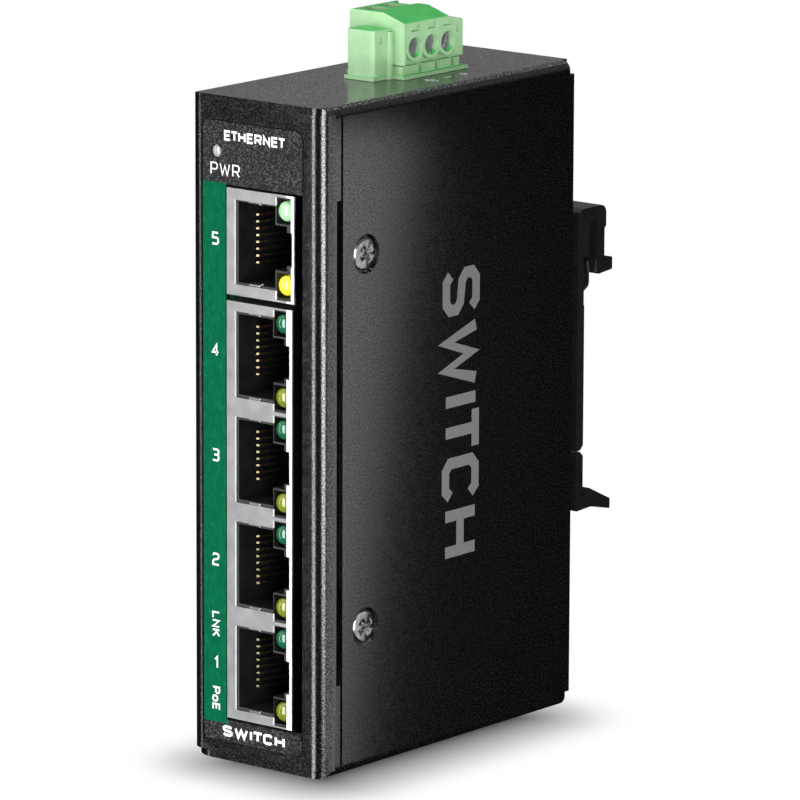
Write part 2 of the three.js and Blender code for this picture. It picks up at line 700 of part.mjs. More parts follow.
const makeClipScrew = (z) => {
  const body = turned([
    [0, BACK - 1.9],
    [1.4, BACK - 1.9],
    [1.4, CLIP_REAR - 1.6],
    [2.6, CLIP_REAR - 0.25],
    [2.6, CLIP_REAR - 0.1],
    [0, CLIP_REAR - 0.1],
  ], 'y', [0, 0, z], 24);
  const arm = 0.4;
  const cut = box(-1.5, 1.5, CLIP_REAR - 1, CLIP_REAR + 1, z - arm, z + arm);
  return body.subtract(cut.add(box(-arm, arm, CLIP_REAR - 1, CLIP_REAR + 1, z - 1.5, z + 1.5)));
};

// ---------------------------------------------------------------- board and its components
const makeBoard = () => {
  let body = box(BOARD.x0, BOARD.x1, BOARD.y0, BOARD.y1, BOARD.z0, BOARD.z1);
  BOARD_FIXINGS.forEach(([y, z]) => {
    body = body.subtract(rod(1.6, 'x', -2, 2, [BOARD.x0 + 0.8, y, z]));
  });
  return body;
};

// A hexagonal standoff whose neck is pressed into the left side.
const makeStandoff = (y, z) => {
  const hexagon = rod(2.6, 'x', LEFT + SHEET + 0.1, BOARD.x0 - FIT, [0, y, z], 6);
  const neck = rod(2.0, 'x', LEFT + FIT, LEFT + SHEET + 0.5, [0, y, z], 24);
  return hexagon.add(neck).subtract(rod(1.4, 'x', BOARD.x0 - 4, BOARD.x0 + 1, [0, y, z]));
};

const onBoard = (height, y, z, deep, tall) => box(
  PART_X,
  PART_X + height,
  y - deep / 2,
  y + deep / 2,
  z - tall / 2,
  z + tall / 2,
);

const makeCapacitor = (y, z) => {
  const top = PART_X + 11;
  return turned([
    [0, PART_X],
    [3.8, PART_X],
    [3.8, PART_X + 1.2],
    [3.55, PART_X + 1.7],
    [3.8, PART_X + 2.2],
    [3.8, top - 0.3],
    [3.5, top],
    [0, top],
  ], 'x', [0, y, z], 24);
};

const makeInductor = () => {
  const core = onBoard(6, 10, 76, 12, 12);
  const coil = rod(4.2, 'x', PART_X + 5, PART_X + 6.4, [0, 10, 76], 24);
  return core.add(coil);
};

// ---------------------------------------------------------------- assembly
add('chassis', makeChassis(), 'coat');
add('cover', makeCover(), 'coat');
add('front_label', makeLabel(), 'label');

['lower', 'upper'].forEach((where, index) => {
  add(`cover_screw_${where}`, makeScrew({
    head: 2.5,
    height: 0.75,
    shank: 1.45,
    length: 3.3,
    turn: 30,
    place: [RIGHT - 0.02, COVER_SCREW_Y, COVER_SCREW_Z[index]],
  }), 'screw');
});

add('main_board', makeBoard(), 'board');
BOARD_FIXINGS.forEach(([y, z], index) => {
  add(`board_standoff_${index + 1}`, makeStandoff(y, z), 'tin');
  add(`board_screw_${index + 1}`, makeScrew({
    head: 2.4,
    height: 1.5,
    shank: 1.25,
    length: 4.6,
    place: [BOARD.x1 + 1.55, y, z],
  }), 'tin');
});

add('switch_chip', onBoard(1.4, 9, 38, 14, 14), 'chip');
add('power_controller_chip', onBoard(1.2, 9, 57, 9, 9), 'chip');
add('clock_crystal', onBoard(1.6, 9, 24, 5, 3.2), 'tin');
add('power_inductor', makeInductor(), 'chip');
['ports_1_2', 'ports_3_4', 'port_5'].forEach((ports, index) => {
  add(`magnetics_${ports}`, onBoard(5.6, -7, 19 + 24 * index, 9.5, 16), 'chip');
});
['lower', 'upper'].forEach((where, index) => {
  add(`filter_capacitor_${where}`, makeCapacitor(21.5, 50 + 10 * index), 'tin');
});

add('port_shield_single', makeShield(SINGLE, SINGLE_Z, [5]), 'shield');
add('port_shield_ganged', makeShield(GANGED, GANG_Z, [1, 2, 3, 4]), 'shield');
add('port_housing_single', makeHousing(SINGLE, SINGLE_Z, [5]), 'blackPlastic');
add('port_housing_ganged', makeHousing(GANGED, GANG_Z, [1, 2, 3, 4]), 'blackPlastic');
[1, 2, 3, 4, 5].forEach((port) => {
  add(`contacts_port_${port}`, makeContacts(portCentres[port]), 'gold');
  const pale = port === 5;
  const kind = pale ? SINGLE : GANGED;
  const upperLens = pale ? 'lampPaleGreen' : 'lampGreen';
  const lowerLens = pale ? 'lampYellow' : 'lampOlive';
  add(`link_lamp_${port}`, makeLamp(kind, portCentres[port] + LAMP_OFFSET), upperLens);
  add(`supply_lamp_${port}`, makeLamp(kind, portCentres[port] - LAMP_OFFSET), lowerLens);
});
add('power_lamp', turned(
  [[0, 0], [0.6, 0.06], [POWER_LAMP.r, 0.25], [POWER_LAMP.r, 1.55], [0, 1.55]],
  'y',
  [POWER_LAMP.x, FRONT + 0.05, POWER_LAMP.z],
  16,
), 'lampClear');

add('terminal_header', makeHeader(), 'terminal');
add('terminal_plug', makePlug(), 'terminal');
POLE_Y.forEach((y, index) => {
  add(`header_pin_${index + 1}`, makePin(y), 'tin');
  add(`terminal_screw_${index + 1}`, makeTerminalScrew(y, [55, 115, 70][index]), 'tin');
  add(`terminal_clamp_${index + 1}`, makeClamp(y), 'tin');
});

add('rail_clip', makeClip(), 'clip');
add('rail_clip_latch', makeLatch(), 'clip');
add('rail_clip_spring', makeClipSpring(), 'spring');
['lower', 'upper'].forEach((where, index) => {
  add(`clip_screw_${where}`, makeClipScrew(CLIP_SCREW_Z[index]), 'screw');
});

export default model;
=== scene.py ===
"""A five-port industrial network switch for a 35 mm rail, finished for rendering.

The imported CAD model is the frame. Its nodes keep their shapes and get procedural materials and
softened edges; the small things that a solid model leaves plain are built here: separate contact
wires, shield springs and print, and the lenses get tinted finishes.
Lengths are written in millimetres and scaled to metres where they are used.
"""

import json
import math

import bmesh
import bpy
from mathutils import Matrix, Quaternion, Vector


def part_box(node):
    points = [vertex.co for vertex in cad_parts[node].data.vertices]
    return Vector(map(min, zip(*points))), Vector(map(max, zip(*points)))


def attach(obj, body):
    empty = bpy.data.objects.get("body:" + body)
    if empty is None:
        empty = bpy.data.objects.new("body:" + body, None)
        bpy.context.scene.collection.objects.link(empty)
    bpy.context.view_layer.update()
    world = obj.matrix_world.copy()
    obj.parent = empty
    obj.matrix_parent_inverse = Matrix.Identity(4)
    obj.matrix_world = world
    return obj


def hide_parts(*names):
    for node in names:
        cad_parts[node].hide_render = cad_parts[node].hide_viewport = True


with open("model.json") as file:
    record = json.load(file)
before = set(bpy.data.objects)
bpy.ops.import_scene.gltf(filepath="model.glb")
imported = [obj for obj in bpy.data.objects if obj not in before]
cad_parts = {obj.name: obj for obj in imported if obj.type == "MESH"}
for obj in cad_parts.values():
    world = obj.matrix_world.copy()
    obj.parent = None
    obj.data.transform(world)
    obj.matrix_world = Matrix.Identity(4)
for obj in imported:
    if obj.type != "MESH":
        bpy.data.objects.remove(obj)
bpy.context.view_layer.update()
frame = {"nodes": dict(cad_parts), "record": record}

MM = 0.001
BODY = "case"
NODES = frame["nodes"]
SCENE = bpy.context.scene


def node_box(name):
    """Lowest and highest corner of a CAD node in millimetres."""
    low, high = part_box(name)
    return low / MM, high / MM


CASE_LOW, CASE_HIGH = node_box("cover")
FRONT = CASE_LOW.y
RIGHT = CASE_HIGH.x
TOP = CASE_HIGH.z
SINGLE_LOW, SINGLE_HIGH = node_box("port_shield_single")
GANG_LOW, GANG_HIGH = node_box("port_shield_ganged")
JACK_LEFT = SINGLE_LOW.x
PORT_PITCH = (GANG_HIGH.z - GANG_LOW.z) / 4
PORT_CENTRE = {port: GANG_LOW.z + (port - 0.5) * PORT_PITCH for port in range(1, 5)}
PORT_CENTRE[5] = (SINGLE_LOW.z + SINGLE_HIGH.z) / 2
LABEL_FRONT = node_box("front_label")[0].y

# ------------------------------------------------------------------ materials


def linear(red, green, blue):
    """An sRGB colour of 0 to 255 as the linear colour that shaders take."""

    def channel(value):
        share = value / 255
        return share / 12.92 if share <= 0.04045 else ((share + 0.055) / 1.055) ** 2.4

    return (channel(red), channel(green), channel(blue), 1.0)


class Finish:
    """A procedural material in the row's own coordinates, with short names for its nodes."""

    def __init__(self, name, **values):
        self.material = bpy.data.materials.new(name)
        self.material.use_nodes = True
        tree = self.material.node_tree
        self.nodes, self.links = tree.nodes, tree.links
        self.nodes.clear()
        self.shader = self.nodes.new("ShaderNodeBsdfPrincipled")
        output = self.nodes.new("ShaderNodeOutputMaterial")
        self.links.new(self.shader.outputs["BSDF"], output.inputs["Surface"])
        self.place = self.nodes.new("ShaderNodeTexCoord").outputs["Object"]
        for key, value in values.items():
            self.shader.inputs[key.replace("_", " ")].default_value = value

    def feed(self, socket, source):
        self.links.new(source, self.shader.inputs[socket])

    def stretched(self, stretch):
        mapping = self.nodes.new("ShaderNodeMapping")
        mapping.inputs["Scale"].default_value = stretch
        self.links.new(self.place, mapping.inputs["Vector"])
        return mapping.outputs["Vector"]

    def noise(self, size, detail=2.0, rough=0.5, stretch=None):
        """Noise whose blotches are about size millimetres across."""
        node = self.nodes.new("ShaderNodeTexNoise")
        node.inputs["Scale"].default_value = 1 / (size * MM)
        node.inputs["Detail"].default_value = detail
        node.inputs["Roughness"].default_value = rough
        self.links.new(self.stretched(stretch) if stretch else self.place, node.inputs["Vector"])
        return node.outputs["Fac"]

    def ramp(self, source, stops):
        """The source as a colour, by stops of (position, colour)."""
        node = self.nodes.new("ShaderNodeValToRGB")
        elements = node.color_ramp.elements
        while len(elements) < len(stops):
            elements.new(0.5)
        for element, (position, colour) in zip(elements, stops):
            element.position = position
            element.color = colour if len(colour) == 4 else (*colour, 1.0)
        self.links.new(source, node.inputs["Fac"])
        return node.outputs["Color"]

    def span(self, source, low, high, start=0.3, end=0.7):
        """The source's range from start to end mapped onto low to high."""
        node = self.nodes.new("ShaderNodeMapRange")
        node.inputs["From Min"].default_value = start
        node.inputs["From Max"].default_value = end
        node.inputs["To Min"].default_value = low
        node.inputs["To Max"].default_value = high
        self.links.new(source, node.inputs["Value"])
        return node.outputs["Result"]

    def maths(self, operation, first, second):
        node = self.nodes.new("ShaderNodeMath")
        node.operation = operation
        for socket, value in zip(node.inputs, (first, second)):
            if isinstance(value, (int, float)):
                socket.default_value = value
            else:
                self.links.new(value, socket)
        return node.outputs["Value"]

    def axes(self):
        """The outputs X, Y and Z of the place, in metres."""
        node = self.nodes.new("ShaderNodeSeparateXYZ")
        self.links.new(self.place, node.inputs["Vector"])
        return node.outputs

    def normal(self, axis):
        """How far the surface faces along an axis, from -1 to 1."""
        node = self.nodes.new("ShaderNodeSeparateXYZ")
        surface = self.nodes.new("ShaderNodeNewGeometry")
        self.links.new(surface.outputs["Normal"], node.inputs["Vector"])
        return node.outputs[axis]

    def inside(self, axis, low, high):
        """1 where that coordinate is between low and high millimetres, and 0 elsewhere."""
        above = self.maths("GREATER_THAN", axis, low * MM)
        below = self.maths("LESS_THAN", axis, high * MM)
        return self.maths("MULTIPLY", above, below)

    def mix(self, share, first, second):
        """The first colour where share is 0 and the second where it is 1."""
        node = self.nodes.new("ShaderNodeMix")
        node.data_type = "RGBA"
        self.links.new(share, node.inputs["Factor"])
        for socket, value in ((node.inputs["A"], first), (node.inputs["B"], second)):
            if isinstance(value, tuple):
                socket.default_value = value
            else:
                self.links.new(value, socket)
        return node.outputs["Result"]

    def bump(self, height, depth, strength=1.0):
        """Surface relief of about depth millimetres."""
        node = self.nodes.new("ShaderNodeBump")
        node.inputs["Strength"].default_value = strength
        node.inputs["Distance"].default_value = depth * MM
        self.links.new(height, node.inputs["Height"])
        self.feed("Normal", node.outputs["Normal"])


def grey(value):
    """A grey that is very slightly cool."""
    return (value, value, value * 1.03, 1.0)


COAT_GRAIN = 0.26  # size of the flecks in the powder coat and the overlay, mm


def powder_coat():
    """Black powder coat with fine flecks; where it faces up they are painted much lighter, a
    painted highlight.
    """
    finish = Finish("powder_coat")
    grain = finish.noise(COAT_GRAIN, detail=2.0, rough=0.6)
    sides = finish.ramp(grain, [(0.38, grey(0.0005)), (0.52, grey(0.0015)), (0.68, grey(0.012))])
    # painted highlight: the flecks are much lighter on faces that look up
    painted_top_tone = finish.ramp(grain, [(0.42, grey(0.001)), (0.52, grey(0.02)), (0.66, grey(0.2))])
    painted_facing_up = finish.maths("GREATER_THAN", finish.normal("Z"), 0.7)
    finish.feed("Base Color", finish.mix(painted_facing_up, sides, painted_top_tone))
    finish.feed("Specular IOR Level", finish.span(grain, 0.35, 0.95, 0.4, 0.64))
    finish.feed("Roughness", finish.span(finish.noise(1.6), 0.17, 0.21))
    finish.bump(grain, 0.02, 0.5)
    return finish.material


def overlay():
    """The printed overlay: dark grey with a green stripe beside the sockets."""
    finish = Finish("printed_overlay")
    grain = finish.noise(COAT_GRAIN, detail=2.0, rough=0.7)
    base = finish.ramp(grain, [
        (0.38, grey(0.001)), (0.52, grey(0.006)), (0.66, grey(0.08)),
    ])
    fibres = finish.noise(0.7, detail=3, rough=0.7, stretch=(1.0, 1.0, 0.45))
    green = finish.ramp(fibres, [
        (0.3, linear(0, 77, 48)), (0.55, linear(0, 87, 55)), (0.75, linear(8, 103, 69)),
    ])
    axes = finish.axes()
    stripe = finish.maths(
        "MULTIPLY",
        finish.inside(axes["X"], STRIPE["x0"], STRIPE["x1"]),
        finish.inside(axes["Z"], STRIPE["z0"], STRIPE["z1"]),
    )
    finish.feed("Base Color", finish.mix(stripe, base, green))
    finish.feed("Specular IOR Level", finish.span(stripe, 0.17, 0.03, 0, 1))
    finish.feed("Roughness", finish.span(finish.noise(1.1), 0.46, 0.6))
    finish.bump(grain, 0.012, 0.5)
    return finish.material


RIM_START = 11.4  # from the left of a socket to the strip of its shield beyond the lamps, mm
RIM_DEPTH = 0.3
CUT_EDGES = (1, 9.7)  # from the left of a socket to the first and last cut edge inside it, mm


def plated_sheet():
    """The socket shields: dull plate, with painted highlights on the strip at the right and on the
    edges of the openings, and painted shade on the right side behind the front.
    """
    finish = Finish("plated_sheet", Metallic=1.0)
    smudges = finish.noise(3.0, detail=3)
    plate = finish.ramp(smudges, [(0.3, (0.27, 0.27, 0.275)), (0.7, (0.36, 0.36, 0.365))])
    axes = finish.axes()
    across = axes["X"]
    right = finish.inside(across, JACK_LEFT + RIM_START, RIGHT)
    # painted highlight: the front strip at the right is made near white
    painted_highlight_rim = finish.maths("MULTIPLY", right, finish.inside(axes["Y"], FRONT - 1, FRONT + RIM_DEPTH))
    # painted highlight: the edges of the openings that face right are made white and not metallic
    facing = finish.maths("GREATER_THAN", finish.normal("X"), 0.5)
    first, last = (JACK_LEFT + offset for offset in CUT_EDGES)
    painted_highlight_cut = finish.maths("MULTIPLY", facing, finish.inside(across, first, last))
    # painted shade: the right side of the shield is darkened behind its front edge
    painted_shade_wall = finish.maths("SUBTRACT", right, painted_highlight_rim)
    plate = finish.mix(painted_shade_wall, plate, (0.02, 0.02, 0.02, 1.0))
    painted_highlights = finish.maths("MAXIMUM", painted_highlight_rim, painted_highlight_cut)
    finish.feed("Base Color", finish.mix(painted_highlights, plate, (0.86, 0.86, 0.87, 1.0)))
    finish.feed("Metallic", finish.maths("SUBTRACT", 1.0, painted_highlight_cut))
    brushed = finish.noise(0.16, detail=3, rough=0.7, stretch=(1.0, 1.0, 0.06))
    finish.feed("Roughness", finish.span(brushed, 0.3, 0.36))
    finish.bump(brushed, 0.0015, 0.3)
    return finish.material


def moulded(name, dark, light, rough, grain_size=0.3, depth=0.01, **values):
    """Moulded plastic with fine spark-eroded texture."""
    finish = Finish(name, **values)
    tone = finish.noise(2.2, detail=3)
    finish.feed("Base Color", finish.ramp(tone, [(0.3, dark), (0.7, light)]))
    grain = finish.noise(grain_size, detail=2)
    finish.feed("Roughness", finish.span(grain, rough - 0.05, rough + 0.07))
    finish.bump(grain, depth, 0.5)
    return finish.material


def metal(name, dark, light, rough, stretch=(1.0, 1.0, 1.0), grain_size=0.2):
    """Bare or plated metal with fine scratches."""
    finish = Finish(name, Metallic=1.0)
    tone = finish.noise(0.9, detail=3)
    finish.feed("Base Color", finish.ramp(tone, [(0.3, dark), (0.7, light)]))
    scratches = finish.noise(grain_size, detail=3, rough=0.7, stretch=stretch)
    finish.feed("Roughness", finish.span(scratches, rough - 0.06, rough + 0.1))
    finish.bump(scratches, 0.004, 0.4)
    return finish.material


def lens(name, colour, glow=0.0, clear=0.5, coat=0.8):
    """Tinted lamp lens, partly clear, with a glow and a glossy coat."""
    finish = Finish(
        name,
        Transmission_Weight=clear,
        Roughness=0.1,
        Coat_Weight=coat,
        Coat_Roughness=0.04,
        Emission_Strength=glow,
        Emission_Color=colour,
    )
    haze = finish.noise(0.5, detail=3)
    deeper = tuple(channel * 0.75 for channel in colour[:3]) + (1.0,)
    finish.feed("Base Color", finish.ramp(haze, [(0.3, deeper), (0.7, colour)]))
    finish.bump(haze, 0.006, 0.3)
    return finish.material


def terminal_plastic():
    """Green polyamide, painted paler on the sides as a painted sheen, and deeper green where it
    faces up.
    """
    finish = Finish(
        "terminal_polyamide",
        Subsurface_Weight=0.15,
        Subsurface_Radius=(0.001, 0.002, 0.001),
        Specular_IOR_Level=0.5,
    )
    tone = finish.noise(2.2, detail=3)
    # painted sheen: the sides are paler than the faces that look up
    sides = finish.ramp(tone, [(0.3, (0.27, 0.48, 0.25)), (0.7, (0.34, 0.54, 0.31))])
    painted_top_tone = finish.ramp(tone, [(0.3, (0.045, 0.5, 0.09)), (0.7, (0.07, 0.6, 0.12))])
    painted_facing_up = finish.span(finish.normal("Z"), 0.0, 1.0, 0.4, 0.8)
    finish.feed("Base Color", finish.mix(painted_facing_up, sides, painted_top_tone))
    grain = finish.noise(0.3, detail=2)
    finish.feed("Roughness", finish.span(grain, 0.35, 0.47))
    finish.bump(grain, 0.01, 0.5)
    return finish.material


def ink(name, value, rough):
    """Screen print of a grey value that covers a little unevenly."""
    finish = Finish(name, Specular_IOR_Level=0.35)
    cover = finish.noise(0.22, detail=2.5, rough=0.6)
    finish.feed("Base Color", finish.ramp(cover, [
        (0.3, grey(value * 0.78)), (0.7, grey(min(value * 1.15, 0.95))),
    ]))
    finish.feed("Roughness", finish.span(cover, rough - 0.05, rough + 0.08))
    finish.bump(cover, 0.006, 0.4)
    return finish.material


def circuit_board():
    """Green solder mask over the weave, with paler tracks."""
    finish = Finish("solder_mask", Specular_IOR_Level=0.5)
    weave = finish.noise(0.6, detail=2, stretch=(1.0, 3.0, 0.4))
    tracks = finish.noise(2.4, detail=0, stretch=(1.0, 0.5, 2.0))
    mask = finish.ramp(weave, [(0.3, (0.004, 0.055, 0.02)), (0.7, (0.01, 0.11, 0.04))])
    line = finish.inside(finish.maths("MULTIPLY", tracks, MM), 0.49, 0.53)
    finish.feed("Base Color", finish.mix(line, mask, (0.03, 0.22, 0.08, 1.0)))
    finish.feed("Roughness", finish.span(weave, 0.3, 0.42))
    finish.bump(weave, 0.01, 0.4)
    return finish.material


STRIPE = {"x0": -10.2, "x1": -5.6, "z0": 5.6, "z1": 87.1}  # the green part of the overlay, mm

MATERIALS = {
    "coat": powder_coat(),
    "label": overlay(),
    "shield": plated_sheet(),
    "black_plastic": moulded("glass_filled_black", grey(0.003), grey(0.008), 0.42),
    "gold": metal("gold_plate", (0.16, 0.13, 0.07, 1.0), (0.3, 0.26, 0.16, 1.0), 0.26),
    "lamp_pale_green": lens(
        "lens_pale_green", linear(176, 222, 172), glow=0.2, clear=0.2, coat=0.15,
    ),
    "lamp_yellow": lens("lens_yellow", linear(236, 228, 60), glow=0.35, clear=0.2),
    "lamp_green": lens("lens_green", linear(40, 138, 92)),
    "lamp_olive": lens("lens_olive", linear(168, 180, 44)),
    "lamp_clear": lens("lens_clear", linear(190, 190, 190), clear=0.3),
    "board": circuit_board(),
    "chip": moulded("component_black", grey(0.008), grey(0.016), 0.5, 0.15),
    "capacitor": moulded(
        "capacitor_sleeve", (0.01, 0.012, 0.02, 1.0), (0.02, 0.026, 0.045, 1.0), 0.25,
    ),
    "tin": metal("tin_plate", grey(0.6), grey(0.85), 0.36),
    "black_nickel": metal("black_nickel", grey(0.14), grey(0.26), 0.2),
    "terminal_green": terminal_plastic(),
    "clip_black": moulded("clip_black", grey(0.003), grey(0.006), 0.36),
    "spring_steel": metal("spring_steel", grey(0.2), grey(0.34), 0.3, (1.0, 0.1, 0.1)),
}
WHITE_INK = ink("white_ink", 0.8, 0.5)
GREY_INK = ink("grey_ink", 0.1, 0.42)
PALE_INK = ink("pale_ink", 0.75, 0.5)

# ------------------------------------------------------------------ carried-over CAD nodes


def softening_tree(name, angle, first_step):
    """Geometry nodes that join split corners, and shade smooth up to an angle in degrees."""
    tree = bpy.data.node_groups.new(name, "GeometryNodeTree")
    tree.interface.new_socket("Geometry", in_out="INPUT", socket_type="NodeSocketGeometry")
    tree.interface.new_socket("Geometry", in_out="OUTPUT", socket_type="NodeSocketGeometry")
    nodes, links = tree.nodes, tree.links
    last = nodes.new("NodeGroupInput").outputs[0]
    if first_step:
        merge = nodes.new("GeometryNodeMergeByDistance")
        merge.inputs["Distance"].default_value = 1e-6
        links.new(last, merge.inputs["Geometry"])
        forget = nodes.new("GeometryNodeRemoveAttribute")
        forget.inputs["Name"].default_value = "custom_normal"
        links.new(merge.outputs["Geometry"], forget.inputs["Geometry"])
        last = forget.outputs["Geometry"]
    faces = nodes.new("GeometryNodeSetShadeSmooth")
    faces.domain = "FACE"
    links.new(last, faces.inputs["Geometry"])
    between = nodes.new("GeometryNodeInputMeshEdgeAngle")
    sharp = nodes.new("FunctionNodeCompare")
    sharp.data_type = "FLOAT"
    sharp.operation = "GREATER_THAN"
    sharp.inputs["B"].default_value = math.radians(angle)
    links.new(between.outputs["Unsigned Angle"], sharp.inputs["A"])
    edges = nodes.new("GeometryNodeSetShadeSmooth")
    edges.domain = "EDGE"
    edges.inputs["Shade Smooth"].default_value = False
    links.new(faces.outputs["Geometry"], edges.inputs["Geometry"])
    links.new(sharp.outputs["Result"], edges.inputs["Selection"])
    links.new(edges.outputs["Geometry"], nodes.new("NodeGroupOutput").inputs[0])
    return tree


JOIN_TREE = softening_tree("join_and_smooth", 30, True)
SMOOTH_TREE = softening_tree("smooth_by_angle", 38, False)


def soften(piece, width, segments=2, joined=False):
    """Rounds the piece's edges by width millimetres, and shades it smooth between them."""
    if not joined:
        piece.modifiers.new("join", "NODES").node_group = JOIN_TREE
    if width > 0:
        bevel = piece.modifiers.new("edges", "BEVEL")
        bevel.limit_method = "ANGLE"
        bevel.angle_limit = math.radians(32)
        bevel.width = width * MM
        bevel.segments = segments
        bevel.miter_outer = "MITER_ARC"
        bevel.use_clamp_overlap = True
    piece.modifiers.new("smooth", "NODES").node_group = SMOOTH_TREE
    weights = piece.modifiers.new("normals", "WEIGHTED_NORMAL")
    weights.keep_sharp = True


# the edge radius in millimetres of each kind of node, found by the start of its name
EDGE_RADII = {
    "chassis": 0.12,
    "cover": 0.14,
    "front_label": 0.04,
    "cover_screw": 0.03,
    "main_board": 0.05,
    "board_": 0.05,
    "switch_chip": 0.12,
    "power_controller_chip": 0.1,
    "clock_crystal": 0.15,
    "power_inductor": 0.3,
    "magnetics": 0.2,
    "filter_capacitor": 0.1,
    "port_shield": 0.1,
    "port_housing": 0.08,
    "contacts_port": 0.04,
    "link_lamp": 0.0,
    "supply_lamp": 0.0,
    "power_lamp": 0.0,
    "terminal_header": 0.12,
    "header_pin": 0.06,
    "terminal_plug": 0.14,
    "terminal_screw": 0.06,
    "terminal_clamp": 0.06,
    "rail_clip": 0.12,
    "rail_clip_spring": 0.05,
    "clip_screw": 0.06,
}

for part in frame["record"]["subparts"]:
    node = NODES[part["node"]]
    node.data.materials.clear()
    node.data.materials.append(MATERIALS[part["material_slot"]])
    fits = [start for start in EDGE_RADII if part["node"].startswith(start)]
    soften(node, EDGE_RADII[max(fits, key=len)])

# ------------------------------------------------------------------ piece building


def piece_from(name, mesh_data, material, body=BODY, stands_for=()):
    """Puts a bmesh drawn in millimetres into the scene as a finished piece."""
    mesh = bpy.data.meshes.new(name)
    bmesh.ops.scale(mesh_data, vec=(MM, MM, MM), verts=mesh_data.verts)
    bmesh.ops.recalc_face_normals(mesh_data, faces=mesh_data.faces)
    mesh_data.to_mesh(mesh)
    mesh_data.free()
    piece = bpy.data.objects.new(name, mesh)
    SCENE.collection.objects.link(piece)
    mesh.materials.append(material)
    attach(piece, body)
    if stands_for:
        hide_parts(*stands_for)
    return piece


def add_strip(mesh, path, width_along, width, thickness):
    """A bent flat strip: path points, its width direction, and its thickness in the bend plane."""
    points = [Vector(point) for point in path]
    across = Vector(width_along).normalized() * (width / 2)
    rings = []
    for index, point in enumerate(points):
        before = points[max(index - 1, 0)]
        after = points[min(index + 1, len(points) - 1)]
        normal = (after - before).normalized().cross(across.normalized()) * (thickness / 2)
        corners = (
            point - across - normal,
            point + across - normal,
            point + across + normal,
            point - across + normal,
        )
        rings.append([mesh.verts.new(corner) for corner in corners])
    for first, second in zip(rings, rings[1:]):
        for index in range(4):
            after = (index + 1) % 4
            mesh.faces.new((first[index], first[after], second[after], second[index]))
    mesh.faces.new(rings[0])
    mesh.faces.new(list(reversed(rings[-1])))


# Plain stroke letters on a grid one unit high. Each is a list of strokes; a stroke that ends
# with CLOSED returns to its start.
CLOSED = None
GLYPHS = {
    "1": [[(0.04, 0.74), (0.3, 1.0), (0.3, 0.0)]],
    "2": [[
        (0.0, 0.84), (0.12, 1.0), (0.5, 1.0), (0.62, 0.86), (0.62, 0.66), (0.5, 0.54),
        (0.12, 0.44), (0.0, 0.3), (0.0, 0.0), (0.64, 0.0),
    ]],
    "3": [
        [(0.0, 1.0), (0.5, 1.0), (0.62, 0.88), (0.62, 0.64), (0.5, 0.52), (0.16, 0.52)],
        [(0.4, 0.52), (0.5, 0.52), (0.62, 0.4), (0.62, 0.12), (0.5, 0.0), (0.0, 0.0)],
    ],
    "4": [[(0.46, 0.0), (0.46, 1.0), (0.0, 0.3), (0.66, 0.3)]],
    "5": [[
        (0.6, 1.0), (0.06, 1.0), (0.02, 0.56), (0.48, 0.56), (0.62, 0.44), (0.62, 0.13),
        (0.48, 0.0), (0.0, 0.0),
    ]],
    "C": [[
        (0.6, 0.84), (0.48, 1.0), (0.13, 1.0), (0.0, 0.86), (0.0, 0.14), (0.13, 0.0),
        (0.48, 0.0), (0.6, 0.16),
    ]],
    "E": [[(0.58, 1.0), (0.0, 1.0), (0.0, 0.0), (0.58, 0.0)], [(0.0, 0.51), (0.52, 0.51)]],
    "H": [[(0.0, 0.0), (0.0, 1.0)], [(0.64, 0.0), (0.64, 1.0)], [(0.0, 0.5), (0.64, 0.5)]],
    "I": [[(0.0, 0.0), (0.0, 1.0)]],
    "K": [[(0.0, 0.0), (0.0, 1.0)], [(0.6, 1.0), (0.06, 0.46)], [(0.2, 0.6), (0.64, 0.0)]],
    "L": [[(0.0, 1.0), (0.0, 0.0), (0.56, 0.0)]],
    "N": [[(0.0, 0.0), (0.0, 1.0), (0.62, 0.0), (0.62, 1.0)]],
    "P": [[
        (0.0, 0.0), (0.0, 1.0), (0.5, 1.0), (0.63, 0.86), (0.63, 0.58), (0.5, 0.44), (0.0, 0.44),
    ]],
    "R": [
        [(0.0, 0.0), (0.0, 1.0), (0.5, 1.0), (0.63, 0.86), (0.63, 0.58), (0.5, 0.44), (0.0, 0.44)],
        [(0.34, 0.44), (0.64, 0.0)],
    ],
    "S": [[
        (0.62, 0.86), (0.5, 1.0), (0.12, 1.0), (0.0, 0.87), (0.0, 0.66), (0.12, 0.53),
        (0.5, 0.47), (0.62, 0.34), (0.62, 0.13), (0.5, 0.0), (0.12, 0.0), (0.0, 0.14),
    ]],
    "T": [[(0.0, 1.0), (0.66, 1.0)], [(0.33, 1.0), (0.33, 0.0)]],
    "W": [[(0.0, 1.0), (0.23, 0.0), (0.47, 0.86), (0.71, 0.0), (0.94, 1.0)]],
    "o": [[
        (0.12, 0.0), (0.42, 0.0), (0.54, 0.14), (0.54, 0.54), (0.42, 0.68), (0.12, 0.68),
        (0.0, 0.54), (0.0, 0.14), CLOSED,
    ]],
    "+": [[(0.0, 0.5), (0.6, 0.5)], [(0.3, 0.0), (0.3, 1.0)]],
    "-": [[(0.0, 0.5), (0.6, 0.5)]],
    "earth": [
        [(0.5, 1.0), (0.5, 0.6)],
        [(0.0, 0.6), (1.0, 0.6)],
        [(0.2, 0.3), (0.8, 0.3)],
        [(0.4, 0.0), (0.6, 0.0)],
    ],
}
GLYPH_GAP = 0.34
# how much closer the letters with an open side stand to their neighbours
OPEN_SIDED = {"T": 0.12, "E": 0.04, "L": 0.06, "P": 0.03}
PRINT_THICKNESS = 0.03
PRINT_STEP = 0.001  # between strokes that cross, so that their faces don't coincide
PRINT_SUNK, COAT_SUNK = 0.02, 0.01  # how far print starts below the overlay and below the coat
MITRE_LIMIT = 0.45


